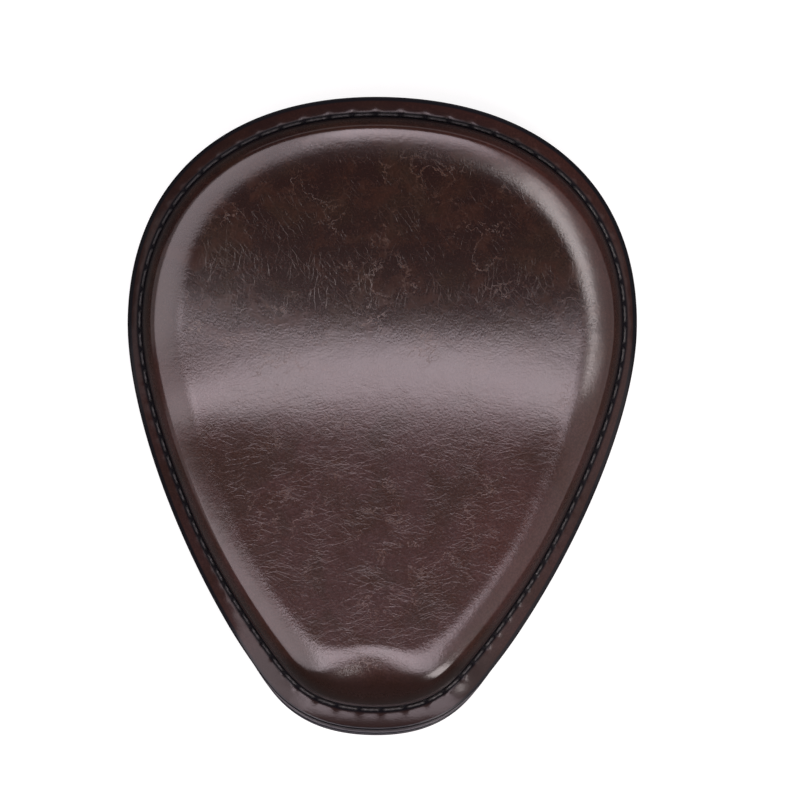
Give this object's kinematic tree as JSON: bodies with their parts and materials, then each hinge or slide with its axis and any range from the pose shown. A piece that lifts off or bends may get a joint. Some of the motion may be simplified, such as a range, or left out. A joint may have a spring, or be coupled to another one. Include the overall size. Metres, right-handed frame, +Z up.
{
  "type": "motorcycle seat",
  "caption": "Solo motorcycle seat: a dished, leather-covered foam pad with a stitched flange, on a pressed steel pan that bolts to the frame or springs from below.",
  "frame": {"origin": "under the middle of the seat's length and width, level with the lowest point of its rim", "axes": "+Z up out of the padded side, +Y towards the rear of the motorcycle, +X towards the seat's right seen from above with its rear at the top"},
  "size_m": [0.2656, 0.3308, 0.0699],
  "materials": {
    "cover_leather": "satin",
    "black_leather": "satin",
    "foam": "matte",
    "pan_steel": "satin",
    "zinc_steel": "satin",
    "thread": "matte"
  },
  "bodies": {
    "root": {"top_cover": "cover_leather", "foam_pad": "foam", "seat_pan": "pan_steel", "rim_filler": "black_leather", "underside_cover": "black_leather", "needle_thread": "thread", "bobbin_thread": "thread", "nose_plate": "pan_steel", "rear_left_plate": "pan_steel", "rear_right_plate": "pan_steel", "nose_nut_left": "zinc_steel", "nose_nut_right": "zinc_steel", "rear_left_nut_inner": "zinc_steel", "rear_left_nut_outer": "zinc_steel", "rear_right_nut_inner": "zinc_steel", "rear_right_nut_outer": "zinc_steel"}
  },
  "joints": []
}
